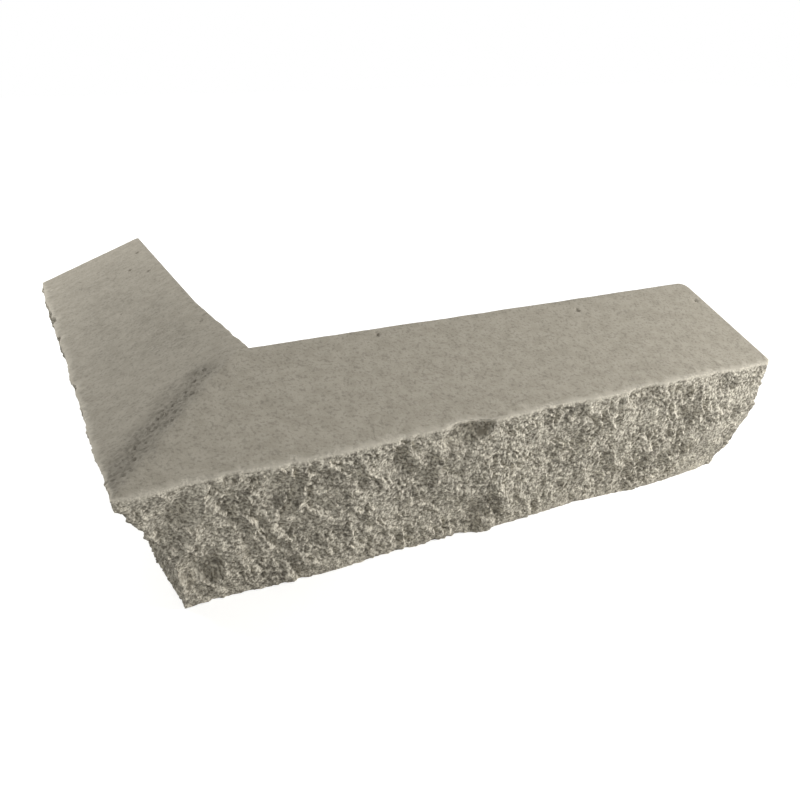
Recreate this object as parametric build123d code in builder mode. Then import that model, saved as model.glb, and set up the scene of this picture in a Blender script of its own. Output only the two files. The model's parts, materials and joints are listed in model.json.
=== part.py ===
from build123d import *
import math
import os

os.makedirs("parts", exist_ok=True)

# Cast stone sill for the outside corner of a wainscot wall, in one piece.
# Millimetres, +Z up. The origin is the outside corner of the wall, level with the bed.
# One leg runs along +X and one along +Y. Both top faces fall away from the wall, and the
# front of each leg is rock faced and leans back under its arris.

# Cast body
leg_length = 305.0
sill_depth = 64.0
front_height = 67.0
wash_rise = 24.0

# Rounded edges of the cast body
right_end_back_round = 4.5
right_end_front_round = 3.5
left_end_back_round = 1.2
left_end_front_round = 1.2
top_edge_round = 1.0

# Rock face: how far it stands back from the plumb line through the arris
undercut = 23.0
arris_inset = 0.8
corner_hollow = 3.4
corner_hollow_reach = 60.0
end_swell = 3.0
end_swell_reach = 55.0

# Rock face: long waves of the break, along the leg
foot_wave = 1.1
foot_wave_length = 85.0
belly_wave = 0.9
belly_wave_length = 61.0
arris_wave = 0.5
arris_wave_length = 72.0
right_shift = 41.0
left_shift = 12.0

# Sections through the rock face
station_gap = 25.0
section_levels = [0.0, 0.22, 0.44, 0.66, 0.86, 1.0]

# Flake scars: distance from the outer corner, distance below the arris, width, bite
right_scars = [
    (17.0, 24.0, 30.0, 1.9),
    (31.0, 54.0, 18.0, 1.8),
    (64.0, 20.0, 24.0, 1.2),
    (87.0, 14.0, 20.0, 1.1),
    (109.0, 11.0, 15.0, 1.5),
    (137.0, 3.5, 23.0, 3.2),
    (153.0, 55.0, 31.0, 2.0),
    (184.0, 30.0, 34.0, 1.2),
    (224.0, 54.0, 24.0, 1.5),
    (228.0, 2.0, 20.0, 1.2),
    (251.0, 24.0, 24.0, 1.2),
    (302.0, 63.0, 22.0, 2.6),
]
left_scars = [
    (20.0, 40.0, 32.0, 1.7),
    (46.0, 12.0, 22.0, 1.5),
    (74.0, 45.0, 34.0, 1.6),
    (110.0, 2.0, 11.0, 2.2),
    (128.0, 26.0, 36.0, 1.4),
    (160.0, 52.0, 26.0, 1.8),
    (184.0, 1.5, 10.0, 2.0),
    (205.0, 32.0, 32.0, 1.3),
    (218.0, 1.5, 12.0, 2.3),
    (247.0, 50.0, 28.0, 1.7),
    (276.0, 16.0, 26.0, 1.5),
]

# How far each tool body runs past the stone
overrun = 12.0

back_height = front_height + wash_rise
face_lean = math.atan2(undercut, front_height)
leg_end = leg_length - sill_depth
block_front = sill_depth + overrun


def rock_setback(run, fall, shift):
    """How far the rock face stands back at a run along the leg and a fall below the arris."""
    level = fall / front_height
    lean = arris_inset + undercut * level
    if level < 0:
        return lean
    swing = math.sin(math.pi * level)
    hollow = corner_hollow * swing * math.exp(-((run / corner_hollow_reach) ** 2))
    swell = end_swell * swing * math.exp(-(((leg_length - run) / end_swell_reach) ** 2))
    turn = 2.0 * math.pi * (run - shift)
    foot = foot_wave * level * math.cos(turn / foot_wave_length)
    belly = belly_wave * swing * math.sin(turn / belly_wave_length)
    arris = arris_wave * (1.0 - level) * math.cos(turn / arris_wave_length)
    return lean + hollow - swell + foot + belly + arris


def section_outline(run, shift):
    """Front curve of one section, from above the stone to below it, as distance and height."""
    falls = [-wash_rise - overrun]
    falls += [level * front_height for level in section_levels]
    falls += [front_height + overrun]
    return [(-sill_depth + rock_setback(run, fall, shift), front_height - fall) for fall in falls]


def stations():
    """Runs of the sections, evenly spaced, from before the outer corner to past the end."""
    count = math.ceil(leg_length / station_gap) + 1
    pitch = leg_length / (count - 1)
    return [pitch * index for index in range(-1, count + 1)]


def scar_ball(width, bite):
    """Radius of the ball that leaves a scar of this width and depth on a flat face."""
    return (width**2 / 4.0 + bite**2) / (2.0 * bite)


def scar_centre(run, fall, radius, bite, shift):
    """Centre of the scar's ball as run, distance and height, outside the leaning face."""
    reach = radius - bite
    distance = -sill_depth + rock_setback(run, fall, shift) - reach * math.cos(face_lean)
    height = front_height - fall - reach * math.sin(face_lean)
    return run - sill_depth, distance, height


# Everything behind the right leg's rock face
with BuildPart() as right_rock:
    for run in stations():
        with BuildSketch(Plane.YZ.offset(run - sill_depth)):
            with BuildLine():
                front = Spline(*section_outline(run, right_shift))
                Polyline(
                    front @ 1,
                    (leg_end + overrun, -overrun),
                    (leg_end + overrun, back_height + overrun),
                    front @ 0,
                )
            make_face()
    loft()
    split(bisect_by=Plane.YZ.offset(leg_end), keep=Keep.BOTTOM)
    right_end = right_rock.faces().sort_by(Axis.X).last
    fillet(right_end.edges().sort_by(Axis.Y).first, radius=right_end_front_round)

# Everything behind the left leg's rock face
with BuildPart() as left_rock:
    for run in stations():
        with BuildSketch(Plane.XZ.offset(sill_depth - run)):
            with BuildLine():
                front = Spline(*section_outline(run, left_shift))
                Polyline(
                    front @ 1,
                    (leg_end + overrun, -overrun),
                    (leg_end + overrun, back_height + overrun),
                    front @ 0,
                )
            make_face()
    loft()
    split(bisect_by=Plane.XZ.offset(-leg_end), keep=Keep.TOP)
    left_end = left_rock.faces().sort_by(Axis.Y).last
    fillet(left_end.edges().sort_by(Axis.X).first, radius=left_end_front_round)

# Top faces, each through the wall line and the arris of its leg
right_wash = Plane(origin=(0, 0, back_height), z_dir=(0, -wash_rise, sill_depth))
left_wash = Plane(origin=(0, 0, back_height), z_dir=(-wash_rise, 0, sill_depth))

with BuildPart() as sill_corner:
    # L-shaped block as high as the wall side
    with BuildSketch():
        with BuildLine():
            Polyline(
                (0, 0),
                (leg_end, 0),
                (leg_end, -block_front),
                (-block_front, -block_front),
                (-block_front, leg_end),
                (0, leg_end),
                close=True,
            )
        make_face()
    extrude(amount=back_height)

    # Plumb edges where the ends of the legs meet the wall
    plumb_edges = sill_corner.edges().filter_by(Axis.Z)
    fillet(plumb_edges.group_by(Axis.X)[-1].sort_by(Axis.Y).last, radius=right_end_back_round)
    fillet(plumb_edges.group_by(Axis.Y)[-1].sort_by(Axis.X).last, radius=left_end_back_round)

    # Wash: both slopes meet in the hip over the outer corner
    split(bisect_by=right_wash, keep=Keep.BOTTOM)
    split(bisect_by=left_wash, keep=Keep.BOTTOM)

    # Top edges over the ends, each running on round the plumb edge and along the wall
    top_edges = sill_corner.faces().filter_by(lambda face: face.normal_at().Z > 0.5).edges()
    fillet([top_edges.sort_by(Axis.X).last, top_edges.sort_by(Axis.Y).last], radius=top_edge_round)

    # Rock faces: both breaks meet in the hollowed ridge of the outer corner
    add(right_rock.part, mode=Mode.INTERSECT)
    add(left_rock.part, mode=Mode.INTERSECT)

    # Flake scars
    for run, fall, width, bite in right_scars:
        radius = scar_ball(width, bite)
        along, out, up = scar_centre(run, fall, radius, bite, right_shift)
        with Locations((along, out, up)):
            Sphere(radius, mode=Mode.SUBTRACT)
    for run, fall, width, bite in left_scars:
        radius = scar_ball(width, bite)
        along, out, up = scar_centre(run, fall, radius, bite, left_shift)
        with Locations((out, along, up)):
            Sphere(radius, mode=Mode.SUBTRACT)

sill_corner.part.label = "sill_corner"
export_step(sill_corner.part, "parts/sill_corner.step")
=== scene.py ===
"""Dressed model and studio of a cast stone sill for the outside corner of a wainscot wall.

The sill is one casting. Each of its two legs has a smooth top that slopes away from the wall,
and a rock face that leans back under the arris. Lengths of the stone are millimetres, and those
of the studio are metres, which are Blender's own units.
"""

import json
import logging
import math
from dataclasses import dataclass, field
from enum import Enum

import bpy
import numpy as np
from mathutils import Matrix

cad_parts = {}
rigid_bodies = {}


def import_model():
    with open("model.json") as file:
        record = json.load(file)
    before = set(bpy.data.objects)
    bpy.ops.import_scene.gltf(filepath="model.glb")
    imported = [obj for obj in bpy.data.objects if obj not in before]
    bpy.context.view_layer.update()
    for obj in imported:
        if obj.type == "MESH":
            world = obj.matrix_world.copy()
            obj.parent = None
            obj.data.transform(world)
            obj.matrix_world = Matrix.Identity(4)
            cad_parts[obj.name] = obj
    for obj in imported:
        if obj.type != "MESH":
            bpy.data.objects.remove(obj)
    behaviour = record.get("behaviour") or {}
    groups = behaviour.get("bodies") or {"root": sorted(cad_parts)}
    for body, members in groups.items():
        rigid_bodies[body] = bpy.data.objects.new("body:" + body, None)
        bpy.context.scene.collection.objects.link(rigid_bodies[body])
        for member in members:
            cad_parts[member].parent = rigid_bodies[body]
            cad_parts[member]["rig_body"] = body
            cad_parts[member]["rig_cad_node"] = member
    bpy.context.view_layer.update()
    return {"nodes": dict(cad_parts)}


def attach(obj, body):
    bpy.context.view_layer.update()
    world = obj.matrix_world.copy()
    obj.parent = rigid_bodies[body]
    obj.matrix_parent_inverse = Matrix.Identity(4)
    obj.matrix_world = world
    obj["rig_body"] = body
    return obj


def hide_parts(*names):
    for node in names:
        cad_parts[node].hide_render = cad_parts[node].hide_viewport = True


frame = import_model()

LOG = logging.getLogger("sill")
MILLIMETRE = 0.001

# Sizes of the solid: depth from wall to arris, length of a leg from the outer corner, height of
# the arris above the bed, and rise of the top from the arris to the wall
SILL_DEPTH = 64.0
LEG_LENGTH = 305.0
FRONT_HEIGHT = 67.0
WASH_RISE = 24.0

# Places of the colour sockets on Blender's Mix node, which has one set for each kind of data
MIX_SHARE = 0
MIX_FIRST = 6
MIX_SECOND = 7
MIX_RESULT = 2
COLOUR_MIX = {"data_type": "RGBA"}


def to_linear(code: str) -> tuple[float, float, float, float]:
    """Turn an sRGB hex colour into the linear colour that a socket holds.

    Args:
        code: Six hex digits with a leading hash.

    Returns:
        Red, green, blue and an alpha of one.
    """
    levels = [int(code[place : place + 2], 16) / 255.0 for place in (1, 3, 5)]
    linear = [v / 12.92 if v <= 0.04045 else ((v + 0.055) / 1.055) ** 2.4 for v in levels]
    return (linear[0], linear[1], linear[2], 1.0)


def add_node(
    tree: bpy.types.NodeTree,
    kind: str,
    settings: dict[str, object] | None = None,
    links: dict[str | int, object] | None = None,
) -> bpy.types.Node:
    """Add one shader node with its settings, and fill its sockets.

    Args:
        tree: Node tree that gets the node.
        kind: Blender's name for the node type.
        settings: Properties of the node by name.
        links: For each input, either a socket to link from or a value to set.

    Returns:
        The new node.
    """
    node = tree.nodes.new(kind)
    for name, value in (settings or {}).items():
        setattr(node, name, value)
    for name, value in (links or {}).items():
        if isinstance(value, bpy.types.NodeSocket):
            tree.links.new(value, node.inputs[name])
        else:
            node.inputs[name].default_value = value
    return node


def start_material(name: str) -> bpy.types.Material:
    """Make a material with an empty node tree.

    Args:
        name: Its name.

    Returns:
        The new material.
    """
    material = bpy.data.materials.new(name)
    material.use_nodes = True
    material.node_tree.nodes.clear()
    return material


def pattern_scale(size: float) -> float:
    """Turn the size of a pattern's lumps, in millimetres, into a noise scale."""
    return 1.0 / (size * MILLIMETRE)


def ease(level: np.ndarray) -> np.ndarray:
    """Run smoothly from 0 to 1 while the level does, and stay flat outside."""
    level = np.clip(level, 0.0, 1.0)
    return level * level * (3.0 - 2.0 * level)


def ramp(values: np.ndarray, start: float, reach: float) -> np.ndarray:
    """Run smoothly from 0 at a start to 1 a reach further on."""
    return ease((values - start) / reach)


def select_only(piece: bpy.types.Object) -> None:
    """Deselect everything, then select and activate one object.

    Args:
        piece: The object to select.
    """
    bpy.ops.object.select_all(action="DESELECT")
    piece.select_set(True)
    bpy.context.view_layer.objects.active = piece


class GradientNoise:
    """Smooth seeded noise over a plane, from about -1 to 1, one cell to a unit."""

    TABLE = 256
    GAIN = 1.5

    def __init__(self, seed: int) -> None:
        """Draw the slopes at the corners of the cells.

        Args:
            seed: Number that fixes the pattern.
        """
        turn = np.random.default_rng(seed).uniform(0.0, 2.0 * math.pi, (self.TABLE, self.TABLE))
        self.slope_u = np.cos(turn)
        self.slope_v = np.sin(turn)

    def at(self, u: np.ndarray, v: np.ndarray) -> np.ndarray:
        """Give the noise at each place.

        Args:
            u: First coordinate in cells.
            v: Second coordinate in cells.

        Returns:
            Levels of the noise.
        """
        cell_u = np.floor(u).astype(int)
        cell_v = np.floor(v).astype(int)
        part_u = u - cell_u
        part_v = v - cell_v
        share_u = ease(part_u)
        share_v = ease(part_v)
        total = np.zeros_like(part_u)
        for step_u in (0, 1):
            for step_v in (0, 1):
                row = (cell_u + step_u) % self.TABLE
                column = (cell_v + step_v) % self.TABLE
                level = self.slope_u[row, column] * (part_u - step_u)
                level += self.slope_v[row, column] * (part_v - step_v)
                weight_u = share_u if step_u else 1.0 - share_u
                weight_v = share_v if step_v else 1.0 - share_v
                total += level * weight_u * weight_v
        return self.GAIN * total


@dataclass(frozen=True)
class Lumps:
    """One noise pattern: which draw it uses, how high it stands and the size of its lumps."""

    draw: int
    lift: float
    width: float
    length: float


class NoiseSet:
    """The seeded draws of noise that the patterns of one surface pick from by number."""

    DRAWS = 24
    SEED_STEP = 100

    def __init__(self, seed: int) -> None:
        """Draw all the noise of the set.

        Args:
            seed: Number that fixes the patterns.
        """
        first = seed * self.SEED_STEP
        self.draws = [GradientNoise(first + index) for index in range(self.DRAWS)]

    def at(self, lumps: Lumps, across: np.ndarray, along: np.ndarray) -> np.ndarray:
        """Give the heights of one pattern.

        Args:
            lumps: The pattern.
            across: Distances over the width of its lumps.
            along: Distances over their length.

        Returns:
            Heights, from about minus to plus its lift.
        """
        draw = self.draws[lumps.draw]
        return lumps.lift * draw.at(across / lumps.width, along / lumps.length)


class Leg(Enum):
    """The two legs of the sill, by the axis that each runs along."""

    RIGHT = 0
    LEFT = 1


@dataclass(frozen=True)
class Mark:
    """Place, size and turn in degrees of one flake mark on a rock face."""

    run: float
    down: float
    width: float
    length: float
    turn: float

    def local(self, run: np.ndarray, down: np.ndarray) -> tuple[np.ndarray, np.ndarray]:
        """Give distances over the mark's own width and length.

        Args:
            run: Distances along the leg.
            down: Distances down the face.

        Returns:
            Distances across and along the mark, from its middle.
        """
        cosine = math.cos(math.radians(self.turn))
        sine = math.sin(math.radians(self.turn))
        across = (run - self.run) * cosine - (down - self.down) * sine
        along = (run - self.run) * sine + (down - self.down) * cosine
        return across, along


@dataclass(frozen=True)
class Facet(Mark):
    """Flake bed that rises to its right edge and drops there."""

    lift: float
    drop_width: float = 1.3
    rise_start: float = -1.1
    rise_reach: float = 0.8
    end_reach: float = 0.3
    end_share: float = 0.68

    def height(self, run: np.ndarray, down: np.ndarray) -> np.ndarray:
        """Give how far the facet stands out.

        Args:
            run: Distances along the leg.
            down: Distances down the face.

        Returns:
            Heights over the face.
        """
        across, along = self.local(run, down)
        level = across / self.width
        rise = level * ramp(level, self.rise_start, self.rise_reach)
        drop = 0.5 * (1.0 - ramp(across, self.width / 2.0, self.drop_width))
        reach = ease((self.end_share - np.abs(along) / self.length) / self.end_reach)
        return self.lift * np.where(level < 0.5, rise, drop) * reach


@dataclass(frozen=True)
class Scoop(Mark):
    """Bowl left by a flake that broke away, with a raised lip on its lower right.

    A negative depth turns it into a mound.
    """

    depth: float
    steepness: float = 0.7
    lip_share: float = 0.4
    lip_place: float = 1.12
    lip_width: float = 0.16
    lip_turn: float = 0.7

    def height(self, run: np.ndarray, down: np.ndarray) -> np.ndarray:
        """Give how far the bowl stands out, which is negative inside it.

        Args:
            run: Distances along the leg.
            down: Distances down the face.

        Returns:
            Heights over the face.
        """
        across, along = self.local(run, down)
        across = across * 2.0 / self.width
        along = along * 2.0 / self.length
        reach = across * across + along * along
        bowl = -self.depth * np.clip(1.0 - reach, 0.0, 1.0) ** self.steepness
        edge = (np.sqrt(reach) - self.lip_place) / self.lip_width
        lip = self.lip_share * self.depth * np.exp(-(edge**2))
        return bowl + lip * ease(0.5 + self.lip_turn * (across + along))


@dataclass(frozen=True)
class Steps:
    """Ragged steps that rise to the right and drop, in patches over a rock face."""

    draw: int
    pitch: float
    lift: float
    patch: Lumps
    patch_level: float
    bend: float = 1.25
    bend_width: float = 1.3
    bend_length: float = 1.9
    rise_share: float = 0.82
    mean: float = 0.45

    def height(self, noise: NoiseSet, across: np.ndarray, along: np.ndarray) -> np.ndarray:
        """Give the steps where no patch weakens them.

        Args:
            noise: Draws of the face.
            across: Distances across the streaks of the break.
            along: Distances along the streaks.

        Returns:
            Heights about the mean of the steps.
        """
        wander = Lumps(
            self.draw, self.bend, self.pitch * self.bend_width, self.pitch * self.bend_length
        )
        phase = (across / self.pitch + noise.at(wander, across, along)) % 1.0
        rise = phase / self.rise_share
        drop = (1.0 - phase) / (1.0 - self.rise_share)
        return self.lift * (np.where(phase < self.rise_share, rise, drop) - self.mean)

    def share(self, noise: NoiseSet, run: np.ndarray, down: np.ndarray) -> np.ndarray:
        """Give how strong the steps are at each place of the face, from 0 to 1."""
        return ease(self.patch_level + noise.at(self.patch, run, down))


@dataclass
class RockFace:
    """Relief of one leg's rock face, over the leaning face of the solid."""

    leg: Leg
    seed: int
    marks: list[Facet | Scoop]

    # Lean of the solid's face
    undercut: float = 23.0
    arris_inset: float = 0.8

    # How the break bends, and the slope of its streaks in degrees from plumb
    run_bends: tuple[Lumps, ...] = (Lumps(0, 2.4, 10.0, 10.0), Lumps(1, 1.1, 3.6, 3.6))
    down_bends: tuple[Lumps, ...] = (Lumps(2, 2.4, 10.0, 10.0), Lumps(3, 1.1, 3.6, 3.6))
    streak_lean: float = 25.0

    # Swells, steps and lumps of the break
    swells: tuple[Lumps, ...] = (
        Lumps(4, 0.8, 34.0, 44.0),
        Lumps(5, 0.75, 13.0, 18.0),
        Lumps(10, 0.8, 5.5, 7.5),
    )
    steps: tuple[Steps, ...] = (
        Steps(7, 12.5, 1.9, Lumps(6, 1.1, 24.0, 19.0), 0.45),
        Steps(9, 5.4, 1.05, Lumps(8, 1.2, 13.0, 11.0), 0.5),
    )

    # Grit and sand that the break left standing. Real sand is about 0.3 to 0.6 mm across, finer
    # than the mesh can hold, so it is drawn coarser than real.
    grit: tuple[Lumps, ...] = (Lumps(12, 1.25, 3.6, 5.0), Lumps(13, 1.15, 2.1, 2.7))
    grit_mean: float = 0.28
    sand: Lumps = Lumps(14, 0.45, 1.3, 1.5)
    coarseness: Lumps = Lumps(11, 0.5, 17.0, 13.0)
    coarse_mean: float = 0.65

    # Where the relief is calmer: along the arris, low at the end of the leg and at the foot
    arris_share: float = 0.35
    arris_reach: float = 5.0
    end_loss: float = 0.45
    end_start: float = 262.0
    end_reach: float = 25.0
    end_fall: float = 24.0
    end_fall_reach: float = 16.0
    foot_loss: float = 0.5
    foot_start: float = 7.0
    foot_reach: float = 6.0

    # Swell of the face at the end of the leg
    belly: float = 2.2
    belly_reach: float = 24.0

    # How deep the relief moves the stone behind the face
    face_skin: float = 0.7
    skin_depth: float = 8.0
    end_margin: int = 4
    nowhere: float = 1000.0

    def __post_init__(self) -> None:
        """Draw the noise and work out the lean of the face."""
        self.face_length = math.hypot(self.undercut, FRONT_HEIGHT)
        self.cosine = FRONT_HEIGHT / self.face_length
        self.sine = self.undercut / self.face_length
        self.noise = NoiseSet(self.seed)

    def place(self, points: np.ndarray) -> tuple[np.ndarray, np.ndarray, np.ndarray]:
        """Give each point's place on the face.

        Args:
            points: Rows of x, y and z.

        Returns:
            Distance along the leg, distance down the face and depth behind it.
        """
        run = points[:, self.leg.value] + SILL_DEPTH
        out = points[:, 1 - self.leg.value] + SILL_DEPTH - self.arris_inset
        rise = points[:, 2] - FRONT_HEIGHT
        down = out * self.sine - rise * self.cosine
        depth = out * self.cosine + rise * self.sine
        return run, down, depth

    def behind(self, points: np.ndarray) -> np.ndarray:
        """Give how far each point lies behind the broken surface of the mesh itself.

        The face is divided into squares of a millimetre, and the foremost vertex of each
        square stands for the surface there.

        Args:
            points: Rows of x, y and z of all the mesh's vertices.

        Returns:
            Distances, near 0 on the face.
        """
        run, down, depth = self.place(points)
        rows = int(LEG_LENGTH) + 2 * self.end_margin + 1
        columns = int(self.face_length) + 1
        row = np.clip(np.round(run).astype(int) + self.end_margin, 0, rows - 1)
        column = np.clip(np.round(down).astype(int), 1, columns - 2)
        foremost = np.full((rows, columns), self.nowhere)
        np.minimum.at(foremost, (row, column), depth)
        return depth - foremost[row, column]

    def streaks(self, run: np.ndarray, down: np.ndarray) -> tuple[np.ndarray, np.ndarray]:
        """Turn places on the face so that the second distance runs along the streaks.

        Args:
            run: Distances along the leg.
            down: Distances down the face.

        Returns:
            Distances across and along the streaks.
        """
        lean = math.radians(self.streak_lean)
        across = run * math.cos(lean) - down * math.sin(lean)
        along = run * math.sin(lean) + down * math.cos(lean)
        return across, along

    def broken(self, run: np.ndarray, down: np.ndarray) -> np.ndarray:
        """Give the flakes, steps and swells of the break.

        Args:
            run: Distances along the leg.
            down: Distances down the face.

        Returns:
            Heights over the face.
        """
        bent_run = run + sum(self.noise.at(bend, run, down) for bend in self.run_bends)
        bent_down = down + sum(self.noise.at(bend, run, down) for bend in self.down_bends)
        across, along = self.streaks(bent_run, bent_down)
        height = np.zeros_like(run)
        for swell in self.swells:
            height += self.noise.at(swell, across, along)
        for steps in self.steps:
            height += steps.share(self.noise, run, down) * steps.height(self.noise, across, along)
        for mark in self.marks:
            height += mark.height(bent_run, bent_down)
        return height

    def grain(self, run: np.ndarray, down: np.ndarray) -> np.ndarray:
        """Give the grains of aggregate that the break left standing.

        Args:
            run: Distances along the leg.
            down: Distances down the face.

        Returns:
            Heights over the broken surface, negative between the grains.
        """
        across, along = self.streaks(run, down)
        height = self.noise.at(self.sand, across, along)
        for grit in self.grit:
            height += np.abs(self.noise.at(grit, across, along)) - grit.lift * self.grit_mean
        return (self.coarse_mean + self.noise.at(self.coarseness, run, down)) * height

    def relief(self, run: np.ndarray, down: np.ndarray) -> np.ndarray:
        """Give the whole relief, calmer along the arris, at the foot and at the leg's end.

        Args:
            run: Distances along the leg.
            down: Distances down the face.

        Returns:
            Heights over the face.
        """
        by_arris = self.arris_share + (1.0 - self.arris_share) * ramp(down, 0.0, self.arris_reach)
        low_end = ramp(run, self.end_start, self.end_reach)
        low_end = low_end * ramp(down, self.end_fall, self.end_fall_reach)
        foot = ramp(down, self.face_length - self.foot_start, self.foot_reach)
        calm = by_arris * (1.0 - self.end_loss * low_end) * (1.0 - self.foot_loss * foot)
        belly = self.belly * np.exp(-(((LEG_LENGTH - run) / self.belly_reach) ** 2))
        belly = belly * np.sin(math.pi * np.clip(down / self.face_length, 0.0, 1.0))
        return (self.broken(run, down) + self.grain(run, down)) * calm + belly

    def shift(self, points: np.ndarray) -> np.ndarray:
        """Give the move of each point, along the face's own normal, fading behind the face.

        Args:
            points: Rows of x, y and z.

        Returns:
            Rows of moves in x, y and z.
        """
        run, down, _ = self.place(points)
        fade = 1.0 - ramp(self.behind(points), self.face_skin, self.skin_depth)
        amount = self.relief(run, down) * fade
        moves = np.zeros_like(points)
        moves[:, 1 - self.leg.value] = -self.cosine * amount
        moves[:, 2] = -self.sine * amount
        return moves


def right_rock_face() -> RockFace:
    """Give the right leg's rock face, with the marks that the photograph shows."""
    marks = [
        Facet(46, 20, 8, 22, 2, 2.9),
        Facet(65, 17, 11, 22, -4, 3.1),
        Facet(85, 18, 9, 22, 10, 2.0),
        Facet(113, 13, 6, 17, 24, 2.8),
        Facet(156, 54, 24, 24, 30, 3.6),
        Facet(187, 5, 5, 12, 20, 1.0),
        Facet(172, 13, 4, 12, 15, 0.9),
        Facet(225, 50, 12, 34, 5, 2.2),
        Facet(262, 18, 10, 14, 20, 1.8),
        Facet(253, 30, 8, 18, -8, 0.9),
        Facet(26, 20, 10, 30, -12, 2.8),
        Facet(57, 14, 4, 10, -15, 0.8),
        Facet(205, 35, 8, 14, 10, 0.9),
        Facet(99, 45, 8, 20, 10, 0.8),
        Scoop(31, 51, 19, 15, -35, 4.0),
        Scoop(137, 7, 27, 10, 20, 2.8),
        Scoop(41, 1, 5, 6, 0, 1.6),
        Scoop(228, 4, 20, 10, 12, 2.3),
        Scoop(255, 7, 9, 9, 30, 1.9),
        Scoop(187, 49, 6, 9, 0, 0.8),
        Scoop(160, 69, 10, 14, 0, -2.6),
        Scoop(62, 70, 18, 12, 0, -1.5),
        Scoop(246, 70, 10, 10, 0, -1.8),
    ]
    return RockFace(Leg.RIGHT, 7, marks)


def left_rock_face() -> RockFace:
    """Give the left leg's rock face, which the photograph shows only in outline."""
    marks = [
        Facet(58, 30, 12, 30, 15, 1.6),
        Facet(96, 20, 10, 24, 5, 1.4),
        Facet(142, 40, 16, 30, 22, 1.8),
        Facet(190, 22, 9, 22, 8, 1.4),
        Facet(236, 44, 12, 28, 12, 1.5),
        Scoop(77, 6, 22, 9, 12, 1.6),
        Scoop(171, 55, 18, 14, -20, 1.6),
        Scoop(262, 9, 16, 10, 10, 1.4),
    ]
    return RockFace(Leg.LEFT, 13, marks)


@dataclass(frozen=True)
class AirHole:
    """Small air hole in the cast top, placed from the outer corner of the sill."""

    across: float
    along: float
    width: float
    depth: float
    stretch: float = 0.75

    def height(self, across: np.ndarray, along: np.ndarray) -> np.ndarray:
        """Give how far the hole stands out, which is negative inside it.

        Args:
            across: Distances from the outer corner along the right leg.
            along: Distances from the outer corner along the left leg.

        Returns:
            Heights over the top.
        """
        apart = np.hypot(across - self.across, (along - self.along) * self.stretch)
        reach = apart * 2.0 / self.width
        return -self.depth * np.clip(1.0 - reach * reach, 0.0, 1.0)


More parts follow.
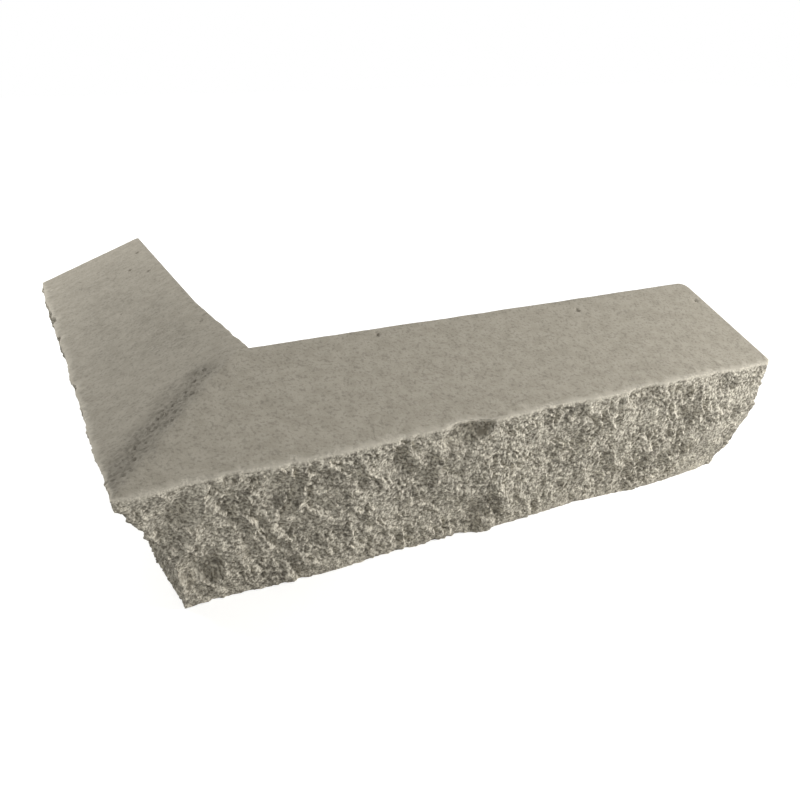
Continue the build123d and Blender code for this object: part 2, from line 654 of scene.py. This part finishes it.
@dataclass
class CastTop:
    """Relief of the sloping top: waves of the mould, the rough hip, worn skin and air holes."""

    seed: int = 7

    # Waves of the mould's skin
    waves: tuple[Lumps, ...] = (Lumps(18, 0.16, 14.0, 14.0), Lumps(19, 0.064, 3.2, 3.2))

    # Roughness where the skin is broken
    pitting: Lumps = Lumps(20, 1.0, 2.0, 2.6)
    pitting_mean: float = 0.4
    fine_pitting: Lumps = Lumps(21, 0.7, 1.3, 1.3)

    # Rough band on the left leg's side of the hip
    hip_bends: tuple[Lumps, ...] = (Lumps(15, 4.5, 11.0, 11.0), Lumps(16, 2.2, 4.0, 4.0))
    hip_offset: float = 8.0
    hip_width: float = 14.0
    hip_fade_start: float = 108.0
    hip_fade_reach: float = 14.0
    hip_roughness: float = 0.95
    hip_drop: float = 0.3

    # Worn skin down the middle of the left leg's top
    worn_patch: Lumps = Lumps(17, 0.6, 18.0, 30.0)
    worn_level: float = 0.7
    worn_sides: tuple[float, float] = (8.0, 50.0)
    worn_side_fade: float = 10.0
    worn_start: float = 85.0
    worn_start_fade: float = 20.0
    worn_end: float = 262.0
    worn_end_fade: float = 25.0
    worn_roughness: float = 0.42
    worn_drop: float = 0.1

    # Lip that the mould left on the wall side of the left leg, from the inner corner
    lip_width: float = 4.8
    lip_length: float = 76.0
    lip_root: float = 7.0
    lip_drop: float = 12.0
    lip_rise: float = 9.0
    lip_wave: Lumps = Lumps(22, 0.2, 7.0, 31.0)
    lip_start: float = -0.5

    # How far a face has to look up to count as the top
    facing_start: float = 0.55
    facing_reach: float = 0.3

    air_holes: tuple[AirHole, ...] = (
        AirHole(57.3, 270.0, 2.4, 1.4),
        AirHole(48.3, 241.7, 2.8, 1.6),
        AirHole(56.0, 223.7, 2.4, 1.4),
        AirHole(229.7, 55.0, 2.4, 1.3),
        AirHole(125.0, 59.3, 2.2, 1.2),
        AirHole(300.0, 48.7, 2.2, 1.2),
        AirHole(33.0, 268.0, 1.8, 0.8),
        AirHole(22.0, 264.0, 1.8, 0.8),
        AirHole(32.5, 173.5, 1.8, 0.8),
        AirHole(59.5, 112.5, 1.8, 0.8),
        AirHole(62.0, 118.5, 2.0, 0.9),
    )

    def __post_init__(self) -> None:
        """Draw the noise of the top."""
        self.noise = NoiseSet(self.seed)

    def hip_share(self, across: np.ndarray, along: np.ndarray) -> np.ndarray:
        """Give how far each place lies in the rough band along the hip, from 0 to 1.

        Args:
            across: Distances from the outer corner along the right leg.
            along: Distances from the outer corner along the left leg.

        Returns:
            Shares, highest on the left leg's side of the hip.
        """
        beside = (along - across) / math.sqrt(2.0)
        for bend in self.hip_bends:
            beside = beside + self.noise.at(bend, across, along)
        band = 1.0 - ease(np.abs(beside - self.hip_offset) / self.hip_width)
        return band * (1.0 - ramp(across + along, self.hip_fade_start, self.hip_fade_reach))

    def worn_share(self, across: np.ndarray, along: np.ndarray) -> np.ndarray:
        """Give how rough the skin of the left leg's top is at each place, from 0 to 1.

        Args:
            across: Distances from the outer corner along the right leg.
            along: Distances from the outer corner along the left leg.

        Returns:
            Shares, in patches down the middle of the leg.
        """
        outer, inner = self.worn_sides
        middle = ramp(across, outer, self.worn_side_fade)
        middle = middle * (1.0 - ramp(across, inner, self.worn_side_fade))
        patch = ease(self.worn_level + self.noise.at(self.worn_patch, across, along))
        start = ramp(along, self.worn_start, self.worn_start_fade)
        return middle * patch * start * (1.0 - ramp(along, self.worn_end, self.worn_end_fade))

    def relief(self, across: np.ndarray, along: np.ndarray) -> np.ndarray:
        """Give the waves, roughness and air holes of the cast top.

        Args:
            across: Distances from the outer corner along the right leg.
            along: Distances from the outer corner along the left leg.

        Returns:
            Heights over the sloping top.
        """
        height = np.zeros_like(across)
        for wave in self.waves:
            height += self.noise.at(wave, across, along)
        rough = np.abs(self.noise.at(self.pitting, across, along)) - self.pitting_mean
        rough += self.noise.at(self.fine_pitting, across, along)
        height += self.hip_roughness * self.hip_share(across, along) * (rough - self.hip_drop)
        height += self.worn_roughness * self.worn_share(across, along) * (rough - self.worn_drop)
        for hole in self.air_holes:
            height += hole.height(across, along)
        return height

    def lip(self, points: np.ndarray) -> np.ndarray:
        """Give how far the wall edge of the left leg's top flares out near the inner corner.

        Args:
            points: Rows of x, y and z.

        Returns:
            Moves along x, largest at the inner corner.
        """
        along = points[:, 1]
        reach = self.lip_width * np.clip(1.0 - along / self.lip_length, 0.0, 1.0)
        reach = reach * ramp(along, self.lip_start, 1.0)
        reach = reach * (1.0 + self.noise.at(self.lip_wave, along, along))
        near_edge = 1.0 - ramp(-points[:, 0], 0.0, self.lip_root)
        base = FRONT_HEIGHT + WASH_RISE - self.lip_drop
        return reach * near_edge * ramp(points[:, 2], base, self.lip_rise)

    def shift(self, points: np.ndarray, facing: np.ndarray) -> np.ndarray:
        """Give the move of each point of the top.

        Args:
            points: Rows of x, y and z.
            facing: Normals at the points.

        Returns:
            Rows of moves in x, y and z.
        """
        across = points[:, 0] + SILL_DEPTH
        along = points[:, 1] + SILL_DEPTH
        upward = ramp(facing[:, 2], self.facing_start, self.facing_reach)
        moves = np.zeros_like(points)
        moves[:, 0] = self.lip(points)
        moves[:, 2] = self.relief(across, along) * upward
        return moves


class StoneMark(Enum):
    """Attributes on the stone's vertices that its finish reads."""

    ROCK = "rock"
    HIP = "hip"
    RISE = "rise"
    RIM_HIGHLIGHT = "rim_highlight"


@dataclass(frozen=True)
class WetCastStone:
    """Wet-cast stone: concrete poured in a mould, its front split like quarried rock."""

    # The mould leaves a dense matt skin with a soft mottle and small dark specks. The split
    # front shows sand and grit, so it is rougher and speckled, with painted shade darkening the
    # hollows between the grains. A thin painted highlight runs along the arris.
    skin: str = "#ada697"
    skin_dark: str = "#a29b8c"
    grit_light: str = "#dfd8c7"
    grit_dark: str = "#857f72"
    # Painted shade laid into the hollows between the grains
    hollow_shade: str = "#504b42"
    # Painted highlight: pale colour of the thin line along the arris
    rim_highlight_colour: str = "#cdc6b6"
    roughness: float = 0.92
    ior: float = 1.5

    # Sizes of the patterns. Real sand is about 0.3 to 0.6 mm across, too fine to show at this
    # distance, so specks, grit and bump are drawn coarser than real.
    mottle_size: float = 5.0
    mottle_detail: float = 3.0
    speck_size: float = 1.3
    grit_size: float = 1.1
    bump_size: float = 0.8
    sand_detail: float = 2.0
    bump_height: float = 0.5

    # Levels of the noise between which each pattern runs from its dark to its light
    mottle_span: tuple[float, float] = (0.36, 0.62)
    speck_span: tuple[float, float] = (0.33, 0.49)
    grit_span: tuple[float, float] = (0.38, 0.62)
    # Rise of the grain above which the hollows get no painted shade
    hollow_shade_end: float = 0.55
    speck_level: float = 0.76
    hip_level: float = 0.76
    skin_bump: float = 0.34

    def make(self) -> bpy.types.Material:
        """Build the material.

        Returns:
            Material that reads Object coordinates and the piece's own attributes.
        """
        material = start_material("wet_cast_stone")
        tree = material.node_tree
        place = add_node(tree, "ShaderNodeTexCoord").outputs["Object"]
        rock, hip, rise, rim_highlight = [
            add_node(tree, "ShaderNodeAttribute", {"attribute_name": mark.value}).outputs["Fac"]
            for mark in StoneMark
        ]
        skin = self.skin_colour(tree, place, hip)
        face = self.face_colour(tree, place, rise)
        mixed = add_node(
            tree, "ShaderNodeMix", COLOUR_MIX, {MIX_SHARE: rock, MIX_FIRST: skin, MIX_SECOND: face}
        )
        # Painted highlight: the pale rim colour is mixed in along the arris
        colour = add_node(
            tree,
            "ShaderNodeMix",
            COLOUR_MIX,
            {
                MIX_SHARE: rim_highlight,
                MIX_FIRST: mixed.outputs[MIX_RESULT],
                MIX_SECOND: to_linear(self.rim_highlight_colour),
            },
        )
        shader = add_node(
            tree,
            "ShaderNodeBsdfPrincipled",
            links={
                "Base Color": colour.outputs[MIX_RESULT],
                "Roughness": self.roughness,
                "IOR": self.ior,
                "Normal": self.sand_bump(tree, place, rock),
            },
        )
        add_node(tree, "ShaderNodeOutputMaterial", links={"Surface": shader.outputs["BSDF"]})
        return material

    def skin_colour(
        self, tree: bpy.types.NodeTree, place: bpy.types.NodeSocket, hip: bpy.types.NodeSocket
    ) -> bpy.types.NodeSocket:
        """Colour the skin that the mould left, darker where the hip is rough.

        Args:
            tree: Node tree of the material.
            place: Object coordinates.
            hip: Share of the rough band.

        Returns:
            Socket with the colour.
        """
        mottle = add_node(
            tree,
            "ShaderNodeTexNoise",
            links={
                "Vector": place,
                "Scale": pattern_scale(self.mottle_size),
                "Detail": self.mottle_detail,
            },
        )
        mottle_share = add_node(
            tree,
            "ShaderNodeMapRange",
            links={
                "Value": mottle.outputs[0],
                "From Min": self.mottle_span[0],
                "From Max": self.mottle_span[1],
            },
        )
        mottled = add_node(
            tree,
            "ShaderNodeMix",
            COLOUR_MIX,
            {
                MIX_SHARE: mottle_share.outputs["Result"],
                MIX_FIRST: to_linear(self.skin_dark),
                MIX_SECOND: to_linear(self.skin),
            },
        )
        speck = add_node(
            tree,
            "ShaderNodeTexNoise",
            links={
                "Vector": place,
                "Scale": pattern_scale(self.speck_size),
                "Detail": self.sand_detail,
            },
        )
        speck_level = add_node(
            tree,
            "ShaderNodeMapRange",
            links={
                "Value": speck.outputs[0],
                "From Min": self.speck_span[0],
                "From Max": self.speck_span[1],
                "To Min": self.speck_level,
            },
        )
        speckled = add_node(
            tree,
            "ShaderNodeVectorMath",
            {"operation": "SCALE"},
            {0: mottled.outputs[MIX_RESULT], "Scale": speck_level.outputs["Result"]},
        )
        hip_level = add_node(
            tree, "ShaderNodeMapRange", links={"Value": hip, "To Min": 1.0, "To Max": self.hip_level}
        )
        shaded = add_node(
            tree,
            "ShaderNodeVectorMath",
            {"operation": "SCALE"},
            {0: speckled.outputs[0], "Scale": hip_level.outputs["Result"]},
        )
        return shaded.outputs[0]

    def face_colour(
        self, tree: bpy.types.NodeTree, place: bpy.types.NodeSocket, rise: bpy.types.NodeSocket
    ) -> bpy.types.NodeSocket:
        """Colour the split front, with painted shade in the hollows between its grains.

        Args:
            tree: Node tree of the material.
            place: Object coordinates.
            rise: How high the grain stands.

        Returns:
            Socket with the colour.
        """
        grit = add_node(
            tree,
            "ShaderNodeTexNoise",
            links={"Vector": place, "Scale": pattern_scale(self.grit_size), "Detail": self.sand_detail},
        )
        grit_share = add_node(
            tree,
            "ShaderNodeMapRange",
            links={
                "Value": grit.outputs[0],
                "From Min": self.grit_span[0],
                "From Max": self.grit_span[1],
            },
        )
        gritty = add_node(
            tree,
            "ShaderNodeMix",
            COLOUR_MIX,
            {
                MIX_SHARE: grit_share.outputs["Result"],
                MIX_FIRST: to_linear(self.grit_dark),
                MIX_SECOND: to_linear(self.grit_light),
            },
        )
        # Painted shade: the lower the grain stands, the more the colour runs to the hollow shade
        hollow_shade_share = add_node(
            tree,
            "ShaderNodeMapRange",
            links={"Value": rise, "From Max": self.hollow_shade_end, "To Min": 1.0, "To Max": 0.0},
        )
        face = add_node(
            tree,
            "ShaderNodeMix",
            COLOUR_MIX,
            {
                MIX_SHARE: hollow_shade_share.outputs["Result"],
                MIX_FIRST: gritty.outputs[MIX_RESULT],
                MIX_SECOND: to_linear(self.hollow_shade),
            },
        )
        return face.outputs[MIX_RESULT]

    def sand_bump(
        self, tree: bpy.types.NodeTree, place: bpy.types.NodeSocket, rock: bpy.types.NodeSocket
    ) -> bpy.types.NodeSocket:
        """Roughen the surface with sand, fully on the split front and less on the skin.

        Args:
            tree: Node tree of the material.
            place: Object coordinates.
            rock: Share of the split front.

        Returns:
            Socket with the normal.
        """
        sand = add_node(
            tree,
            "ShaderNodeTexNoise",
            links={"Vector": place, "Scale": pattern_scale(self.bump_size), "Detail": self.sand_detail},
        )
        strength = add_node(
            tree, "ShaderNodeMapRange", links={"Value": rock, "To Min": self.skin_bump}
        )
        bump = add_node(
            tree,
            "ShaderNodeBump",
            links={
                "Strength": strength.outputs["Result"],
                "Distance": self.bump_height * MILLIMETRE,
                "Height": sand.outputs[0],
            },
        )
        return bump.outputs["Normal"]


@dataclass
class SillCorner:
    """The casting: a smooth L-shaped top with a hip, and a rock face along each leg."""

    voxel: float = 0.5
    triangle_limit: int = 197_000
    merge_distance: float = 0.001
    smooth_angle: float = 50.0
    top: CastTop = field(default_factory=CastTop)
    faces: list[RockFace] = field(default_factory=lambda: [right_rock_face(), left_rock_face()])

    # Where a vertex belongs to the split front: close behind it and looking outwards
    rock_skin: float = 1.0
    rock_fade: float = 1.5
    outward_start: float = 0.1
    outward_reach: float = 0.3
    grain_height: float = 1.6

    # Painted highlight: a thin pale rim along the arris
    rim_place: float = 0.2
    rim_width: float = 0.3
    rim_fade: float = 0.7
    rim_skin: float = 0.8
    rim_skin_fade: float = 1.0
    rim_strength: float = 0.8

    # Dark skin of the hip and of the worn left leg
    upward_start: float = 0.4
    upward_reach: float = 0.3
    worn_darkness: float = 0.3

    def build(self) -> bpy.types.Object:
        """Cut the fine relief into a closed copy of the solid.

        The break of a split stone has no edges or rings to model by hand, so the vertices of
        an even mesh are moved in code.

        Returns:
            The finished mesh, with its attributes.
        """
        piece = self.copy_solid()
        remesh = {"mode": "VOXEL", "voxel_size": self.voxel * MILLIMETRE}
        self.apply_modifier(piece, "REMESH", remesh)
        points = self.read_rows(piece, "co") / MILLIMETRE
        moves = self.top.shift(points, self.read_rows(piece, "normal"))
        for face in self.faces:
            moves += face.shift(points)
        points += moves
        points[:, 2] = np.maximum(points[:, 2], 0.0)
        piece.data.vertices.foreach_set("co", (points * MILLIMETRE).ravel())
        piece.data.update()
        ratio = min(1.0, self.triangle_limit / self.count_triangles(piece))
        self.apply_modifier(piece, "DECIMATE", {"ratio": ratio})
        self.store_marks(piece)
        return piece

    def dress(self, piece: bpy.types.Object, finish: WetCastStone) -> None:
        """Give the piece its finish and its place in the frame.

        Args:
            piece: The finished mesh.
            finish: What it is made of.
        """
        piece.data.materials.clear()
        piece.data.materials.append(finish.make())
        select_only(piece)
        bpy.ops.object.shade_smooth_by_angle(angle=math.radians(self.smooth_angle))
        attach(piece, "root")
        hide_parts("sill_corner")

    def copy_solid(self) -> bpy.types.Object:
        """Copy the CAD node, with the doubles of its loose triangles merged.

        Returns:
            The copy, at the origin.
        """
        select_only(frame["nodes"]["sill_corner"])
        bpy.ops.object.duplicate()
        piece = bpy.context.view_layer.objects.active
        piece.name = "rock_faced_sill"
        piece.parent = None
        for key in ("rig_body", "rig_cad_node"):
            del piece[key]
        select_only(piece)
        bpy.ops.object.mode_set(mode="EDIT")
        bpy.ops.mesh.select_all(action="SELECT")
        bpy.ops.mesh.remove_doubles(threshold=self.merge_distance * MILLIMETRE)
        bpy.ops.object.mode_set(mode="OBJECT")
        return piece

    @staticmethod
    def apply_modifier(piece: bpy.types.Object, kind: str, settings: dict[str, object]) -> None:
        """Add one modifier to the piece and apply it.

        Args:
            piece: Object that gets it.
            kind: Blender's name for the modifier type.
            settings: Properties of the modifier by name.
        """
        modifier = piece.modifiers.new(kind.lower(), kind)
        for name, value in settings.items():
            setattr(modifier, name, value)
        select_only(piece)
        bpy.ops.object.modifier_apply(modifier=modifier.name)

    @staticmethod
    def count_triangles(piece: bpy.types.Object) -> int:
        """Count the triangles that the piece's faces make."""
        piece.data.calc_loop_triangles()
        return len(piece.data.loop_triangles)

    @staticmethod
    def read_rows(piece: bpy.types.Object, name: str) -> np.ndarray:
        """Read a property of three numbers from every vertex.

        Args:
            piece: Object whose mesh is read.
            name: Name of the property, such as co or normal.

        Returns:
            One row for each vertex.
        """
        flat = np.empty(len(piece.data.vertices) * 3)
        piece.data.vertices.foreach_get(name, flat)
        return flat.reshape(-1, 3)

    def store_marks(self, piece: bpy.types.Object) -> None:
        """Store what the finish reads: split front, hip band, rise of the grain and painted arris
        highlight.

        Args:
            piece: The finished mesh.
        """
        points = self.read_rows(piece, "co") / MILLIMETRE
        facing = self.read_rows(piece, "normal")
        rock = np.zeros(len(points))
        rise = np.full(len(points), 0.5)
        rim_highlight = np.zeros(len(points))
        for face in self.faces:
            run, down, _ = face.place(points)
            behind = face.behind(points)
            outward = -face.cosine * facing[:, 1 - face.leg.value] - face.sine * facing[:, 2]
            share = 1.0 - ramp(behind, self.rock_skin, self.rock_fade)
            share = share * ramp(outward, self.outward_start, self.outward_reach)
            grain = 0.5 + face.grain(run, down) / self.grain_height
            rise = np.where(share > rock, grain, rise)
            rock = np.maximum(rock, share)
            # Painted highlight: a thin pale line just under the arris, close to the face
            rim = 1.0 - ramp(np.abs(down - self.rim_place), self.rim_width, self.rim_fade)
            rim = rim * (1.0 - ramp(behind, self.rim_skin, self.rim_skin_fade))
            rim_highlight = np.maximum(rim_highlight, self.rim_strength * rim)
        across = points[:, 0] + SILL_DEPTH
        along = points[:, 1] + SILL_DEPTH
        dark = self.top.hip_share(across, along)
        dark = dark + self.worn_darkness * self.top.worn_share(across, along)
        upward = ramp(facing[:, 2], self.upward_start, self.upward_reach)
        marks = {
            StoneMark.ROCK: rock,
            StoneMark.HIP: np.clip(dark, 0.0, 1.0) * upward,
            StoneMark.RISE: np.clip(rise, 0.0, 1.0),
            StoneMark.RIM_HIGHLIGHT: rim_highlight,
        }
        for mark, values in marks.items():
            layer = piece.data.attributes.new(mark.value, "FLOAT", "POINT")
            layer.data.foreach_set("value", values.astype(np.float32))


def shown_rays(tree: bpy.types.NodeTree) -> bpy.types.NodeSocket:
    """Give 1 for the rays that show a background, and 0 for those that light the stone.

    Args:
        tree: Node tree that gets the nodes.

    Returns:
        Socket with the level.
    """
    path = add_node(tree, "ShaderNodeLightPath").outputs
    level = path["Is Camera Ray"]
    for name in ("Is Glossy Ray", "Is Transmission Ray"):
        larger = add_node(
            tree, "ShaderNodeMath", {"operation": "MAXIMUM"}, {0: level, 1: path[name]}
        )
        level = larger.outputs[0]
    return level


@dataclass(frozen=True)
class PaleFloor:
    """Matt white paper: it shows white, and keeps a soft shadow near the stone, in metres."""

    # Matt paper scatters light evenly. The camera sees it lifted to white, more so far off,
    # where the lamps don't reach, and the light that it throws on the stone isn't lifted.
    colour: str = "#e2e2e0"
    glow: str = "#ffffff"
    near_lift: float = 0.62
    far_lift: float = 0.9
    lift_start: float = 0.3
    lift_end: float = 0.9

    def make(self) -> bpy.types.Material:
        """Build the material.

        Returns:
            Material that reads Object coordinates.
        """
        material = start_material("pale_paper")
        tree = material.node_tree
        paper = add_node(tree, "ShaderNodeBsdfDiffuse", links={"Color": to_linear(self.colour)})
        place = add_node(tree, "ShaderNodeTexCoord").outputs["Object"]
        apart = add_node(tree, "ShaderNodeVectorMath", {"operation": "LENGTH"}, {0: place})
        level = add_node(
            tree,
            "ShaderNodeMapRange",
            links={
                "Value": apart.outputs["Value"],
                "From Min": self.lift_start,
                "From Max": self.lift_end,
                "To Min": self.near_lift,
                "To Max": self.far_lift,
            },
        )
        lift = add_node(
            tree,
            "ShaderNodeMath",
            {"operation": "MULTIPLY"},
            {0: shown_rays(tree), 1: level.outputs["Result"]},
        )
        glow = add_node(
            tree,
            "ShaderNodeEmission",
            links={"Color": to_linear(self.glow), "Strength": lift.outputs[0]},
        )
        both = add_node(
            tree,
            "ShaderNodeAddShader",
            links={0: paper.outputs["BSDF"], 1: glow.outputs["Emission"]},
        )
        add_node(tree, "ShaderNodeOutputMaterial", links={"Surface": both.outputs["Shader"]})
        return material


@dataclass(frozen=True)
class Lamp:
    """One soft square lamp of the studio, in metres and watts."""

    name: str
    place: tuple[float, float, float]
    aim: tuple[float, float, float]
    size: float
    power: float

    def hang(self) -> None:
        """Hang the lamp and point it."""
        bpy.ops.object.select_all(action="DESELECT")
        bpy.ops.object.light_add(type="AREA", location=self.place)
        made = bpy.context.active_object
        made.name = self.name
        made.data.size = self.size
        made.data.energy = self.power
        toward = [aim - place for aim, place in zip(self.aim, self.place)]
        tilt = math.atan2(math.hypot(toward[0], toward[1]), -toward[2])
        made.rotation_euler = (tilt, 0.0, math.atan2(toward[1], toward[0]) - math.pi / 2.0)


@dataclass
class Studio:
    """Pale floor, soft lamps and the camera at the photograph's angle, in metres."""

    floor_size: float = 8.0
    floor: PaleFloor = field(default_factory=PaleFloor)
    sky_colour: str = "#ffffff"
    sky_level: float = 0.32
    lamps: tuple[Lamp, ...] = (
        Lamp("raking_lamp", (0.62, -0.40, 0.27), (0.15, -0.05, 0.04), 0.16, 4.1),
        Lamp("rear_lamp", (-0.35, 0.55, 0.50), (-0.03, 0.10, 0.08), 0.35, 3.2),
    )

    # The camera's place, and its elevation and turn in degrees, as fitted to the edges of the
    # stone in the photograph
    camera_place: tuple[float, float, float] = (-0.07873, -0.31623, 0.20415)
    camera_elevation: float = 23.2
    camera_turn: float = -25.8
    focal_length: float = 36.82
    sensor_width: float = 36.0
    nearest_seen: float = 0.01
    farthest_seen: float = 20.0

    def build(self) -> None:
        """Set up the floor, the lamps, the sky, the camera and the colour view."""
        self.build_floor()
        for lamp in self.lamps:
            lamp.hang()
        self.build_sky()
        self.build_camera()
        bpy.context.scene.view_settings.view_transform = "Standard"

    def build_floor(self) -> None:
        """Lay a pale floor under the stone."""
        bpy.ops.object.select_all(action="DESELECT")
        bpy.ops.mesh.primitive_plane_add(size=self.floor_size)
        floor = bpy.context.active_object
        floor.name = "floor"
        floor.data.materials.append(self.floor.make())

    def build_sky(self) -> None:
        """Light the stone from all round, and show white behind it."""
        world = bpy.data.worlds.new("studio_sky")
        bpy.context.scene.world = world
        world.use_nodes = True
        tree = world.node_tree
        tree.nodes.clear()
        level = add_node(
            tree, "ShaderNodeMapRange", links={"Value": shown_rays(tree), "To Min": self.sky_level}
        )
        sky = add_node(
            tree,
            "ShaderNodeBackground",
            links={"Color": to_linear(self.sky_colour), "Strength": level.outputs["Result"]},
        )
        add_node(tree, "ShaderNodeOutputWorld", links={"Surface": sky.outputs["Background"]})

    def build_camera(self) -> None:
        """Stand the camera where the photograph was taken from."""
        bpy.ops.object.select_all(action="DESELECT")
        turn = (math.radians(90.0 - self.camera_elevation), 0.0, math.radians(self.camera_turn))
        bpy.ops.object.camera_add(location=self.camera_place, rotation=turn)
        camera = bpy.context.active_object
        camera.data.sensor_width = self.sensor_width
        camera.data.lens = self.focal_length
        camera.data.clip_start = self.nearest_seen
        camera.data.clip_end = self.farthest_seen
        bpy.context.scene.camera = camera


def main() -> None:
    """Build the sill and its studio, and report each."""
    logging.basicConfig(level=logging.INFO, format="%(message)s")
    sill = SillCorner()
    piece = sill.build()
    sill.dress(piece, WetCastStone())
    LOG.info("%s: %d triangles, wet-cast stone", piece.name, sill.count_triangles(piece))
    studio = Studio()
    studio.build()
    LOG.info("studio: floor, sky, camera and %d lamps", len(studio.lamps))


if __name__ == "__main__":
    main()
